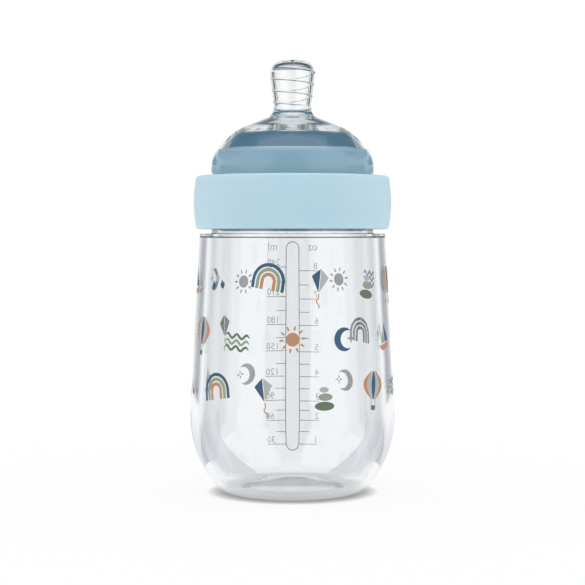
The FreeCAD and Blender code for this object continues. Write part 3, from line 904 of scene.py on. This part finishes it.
def draw_moon(shape):
    """Crescent, a line that is wide in its middle, and a star of four points."""
    turns = [i / 18 for i in range(19)]
    line = arc_points(3.4, 60, 300, 18)
    flat_line(shape, line, [0.15 + 2.3 * math.sin(math.pi * t) for t in turns], NAVY)
    star = (2.0, 0.3)
    for i in range(4):
        t = math.pi * i / 2
        line = [(star[0] + r * math.cos(t), star[1] + r * math.sin(t)) for r in (0.45, 1.0, 1.7)]
        flat_line(shape, line, [0.9, 0.5, 0.1], SAGE)


print("three motifs of the sky")

# %% Waves, kite and pebbles
def draw_waves(shape):
    """Three wavy lines with narrow ends."""
    for row, ink in ((-2.0, FERN), (0.0, SAGE), (2.0, FERN)):
        line = [(-5 + 10 * i / 28, row + 0.7 * math.sin(2 * math.pi * i / 11)) for i in range(29)]
        widths = [0.85 * min(1, 0.25 + i / 4, 0.25 + (28 - i) / 4) for i in range(29)]
        flat_line(shape, line, widths, ink)


def draw_kite(shape):
    """Kite in two halves, with a tail that swings wider towards its end."""
    for side, ink in ((-1, NAVY), (1, STONE)):
        edges = [((0.12 * side, -3.6), (0.2 * side, -3.5)), ((0.12 * side, -1), (1.75 * side, -0.8)),
                 ((0.12 * side, 1.3), (3.1 * side, 1.5)), ((0.12 * side, 2.9), (1.4 * side, 3.1)),
                 ((0.12 * side, 4.2), (0.2 * side, 4.1))]
        flat_patch(shape, edges, ink)
    line = [(0.9 * math.sin(i * 0.75) * i / 12, -4.0 - 0.4 * i) for i in range(13)]
    flat_line(shape, line, [0.4] * 13, CLAY)


def draw_pebbles(shape):
    """Three flat pebbles, the largest at the bottom."""
    for centre, across, tall, ink in (((0, -2.9), 3.4, 1.5, FERN), ((0.3, 0.1), 2.5, 1.25, SAGE),
                                      ((-0.1, 2.5), 1.6, 0.95, STONE)):
        flat_oval(shape, centre, across, tall, ink)


print("three motifs of the beach")

# %% Drops, boat and balloon
def draw_drops(shape):
    """Three rain drops."""
    for middle, low, ink in ((-2.2, -1.2, NAVY), (0.3, 0.9, STONE), (2.5, -1.7, NAVY)):
        widths = (0.05, 0.55, 0.95, 1.1, 1.0, 0.6, 0.28, 0.05)
        flat_patch(shape, [((middle - w, low - 1.2 + 0.45 * i), (middle + w, low - 1.2 + 0.45 * i))
                           for i, w in enumerate(widths)], ink)


def draw_boat(shape):
    """Hull, mainsail and foresail."""
    flat_patch(shape, [((-2.6, -3.6), (2.6, -3.6)), ((-3.6, -2.6), (3.6, -2.6)), ((-4.2, -1.7), (4.2, -1.7))],
               CLAY, 7)
    flat_patch(shape, [((0.3, -1.1), (3.6, -1.1)), ((0.3, 1.2), (2.5, 1.2)), ((0.3, 3.4), (1.4, 3.4)),
                       ((0.3, 5.4), (0.4, 5.4))], NAVY)
    flat_patch(shape, [((-2.8, -1.1), (-0.3, -1.1)), ((-1.8, 1.0), (-0.3, 1.0)), ((-0.9, 2.8), (-0.3, 2.8)),
                       ((-0.4, 4.0), (-0.3, 4.0))], SAGE)


def draw_balloon(shape):
    """Balloon of five gores, with its basket on two ropes."""
    widths = (1.3, 2.5, 3.7, 4.6, 5.1, 5.2, 4.9, 4.1, 2.8, 1.2)
    gores = ((-1.0, -0.62, CLAY), (-0.62, -0.22, STONE), (-0.22, 0.22, NAVY), (0.22, 0.62, STONE),
             (0.62, 1.0, CLAY))
    for begin, end, ink in gores:
        flat_patch(shape, [((w * begin + 0.06, -2.6 + 1.05 * i), (w * end - 0.06, -2.6 + 1.05 * i))
                           for i, w in enumerate(widths)], ink, 2)
    flat_patch(shape, [((-1.0, -6.2), (1.0, -6.2)), ((-1.2, -4.6), (1.2, -4.6))], FERN)
    for side in (-1, 1):
        flat_line(shape, [(1.0 * side, -4.4), (1.1 * side, -3.6), (1.2 * side, -2.8)], [0.25] * 3, FERN)


motif_box = bpy.data.collections.new("motif_box")
for number, draw in enumerate((draw_sun, draw_moon, draw_boat, draw_drops, draw_arch, draw_kite, draw_pebbles,
                               draw_balloon, draw_waves)):
    motif_box.objects.link(drawn(f"motif_{number}", draw, motif_inks))

# %% [markdown]
# ## Scattering the motifs
# The motifs stand in staggered rows, as on wallpaper. Placed by hand they would be thirty numbers to keep
# in order. A tree makes the rows, moves each point a little with a fixed seed, and sets the next motif on
# it. A strip at the scale stays clear, so that the scale can be read. The motifs bring their own inks, and
# the wrapping tree, which runs next, gives the backs of them their undercoat.

# %% Motif scatter tree
ROW_LEAP = 4.0
TILT = 0.2
tree, given, result = new_geometry_tree("motif_scatter", [
    ("Motifs", "Collection", None), ("Kinds", "Int", 9), ("Columns", "Int", 11), ("Rows", "Int", 3),
    ("Column step", "Float", 20 * MM), ("Row step", "Float", 18.5 * MM), ("Lowest", "Float", 37 * MM),
    ("Wander", "Float", 1.6 * MM), ("Clear strip", "Float", 16 * MM), ("Seed", "Int", 7)])
count = add_node(tree, "ShaderNodeMath", {0: given["Columns"], 1: given["Rows"]}, operation="MULTIPLY")
points = add_node(tree, "GeometryNodePoints", {"Count": count})
order = add_node(tree, "GeometryNodeInputIndex")
column = add_node(tree, "ShaderNodeMath", {0: order, 1: given["Columns"]}, operation="MODULO")
row_part = add_node(tree, "ShaderNodeMath", {0: order, 1: given["Columns"]}, operation="DIVIDE")
row = add_node(tree, "ShaderNodeMath", {0: row_part}, operation="FLOOR")
odd = add_node(tree, "ShaderNodeMath", {0: row, 1: 2.0}, operation="MODULO")
stagger = add_node(tree, "ShaderNodeMath", {0: odd, 1: 0.5, 2: column}, operation="MULTIPLY_ADD")
along = add_node(tree, "ShaderNodeMath", {0: stagger, 1: given["Column step"]}, operation="MULTIPLY")
level = add_node(tree, "ShaderNodeMath", {0: row, 1: given["Row step"], 2: given["Lowest"]},
                 operation="MULTIPLY_ADD")
place = add_node(tree, "ShaderNodeCombineXYZ", {"X": along, "Y": level})
wander = add_node(tree, "FunctionNodeRandomValue",
                  {"Min": (-1.0, -1.0, 0.0), "Max": (1.0, 1.0, 0.0), "Seed": given["Seed"]},
                  data_type="FLOAT_VECTOR")
stray = add_node(tree, "ShaderNodeVectorMath", {0: wander.outputs["Value"], "Scale": given["Wander"]},
                 operation="SCALE")
set_out = add_node(tree, "GeometryNodeSetPosition", {"Geometry": points, "Position": place, "Offset": stray})
round_trip = add_node(tree, "ShaderNodeMath", {0: given["Columns"], 1: given["Column step"]},
                      operation="MULTIPLY")
past = add_node(tree, "ShaderNodeMath", {0: round_trip, 1: along}, operation="SUBTRACT")
nearest = add_node(tree, "ShaderNodeMath", {0: along, 1: past}, operation="MINIMUM")
clear = add_node(tree, "ShaderNodeMath", {0: nearest, 1: given["Clear strip"]}, operation="GREATER_THAN")
leap = add_node(tree, "ShaderNodeMath", {0: row, 1: ROW_LEAP, 2: column}, operation="MULTIPLY_ADD")
kind = add_node(tree, "ShaderNodeMath", {0: leap, 1: given["Kinds"]}, operation="MODULO")
tilt = add_node(tree, "FunctionNodeRandomValue",
                {"Min": (0.0, 0.0, -TILT), "Max": (0.0, 0.0, TILT), "Seed": given["Seed"]},
                data_type="FLOAT_VECTOR")
chest = add_node(tree, "GeometryNodeCollectionInfo",
                 {"Collection": given["Motifs"], "Separate Children": True, "Reset Children": True})
stamped = add_node(tree, "GeometryNodeInstanceOnPoints",
                   {"Points": set_out, "Selection": clear, "Instance": chest, "Pick Instance": True,
                    "Instance Index": kind, "Rotation": tilt.outputs["Value"]})
whole = add_node(tree, "GeometryNodeRealizeInstances", {0: stamped})
fill(tree, result, {0: whole})
scatter_tree = tree
print(scatter_tree.name, "has", len(scatter_tree.nodes), "nodes")

# %% Pattern on the glass
PATTERN_RADIUS = 35.014 * MM
pattern_print = new_object("pattern_print", bpy.data.meshes.new("pattern_print"))
run_tree(pattern_print, scatter_tree, {"Motifs": motif_box})
run_tree(pattern_print, wrap_tree, {"Glass": bottle_glass, "Radius": PATTERN_RADIUS, "Back": undercoat})
for motif in list(motif_box.objects):
    bpy.data.objects.remove(motif)
bpy.data.collections.remove(motif_box)
print("pattern:", len(pattern_print.data.polygons), "faces,", len(pattern_print.data.materials), "inks")

# %% [markdown]
# ## Joining the frame
# When the collar is unscrewed, it takes the teat and the insert up with it, and the print stays on the
# glass. So each piece rides on the body that carries it. The four main pieces stand for their solids.

# %% Ride and replace
for piece, node, body, slot in (
        (bottle_glass, "bottle_body", "bottle", "clear_glass"),
        (vent_ring, "vent_insert", "teat_and_insert", "blue_insert_plastic"),
        (silicone_teat, "teat", "teat_and_insert", "clear_silicone"),
        (screw_collar, "collar", "screw_collar", "blue_collar_plastic")):
    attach(piece, body)
    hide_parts(node)
for piece in (scale_marks, scale_capsule, scale_numerals, pattern_print):
    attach(piece, "bottle")
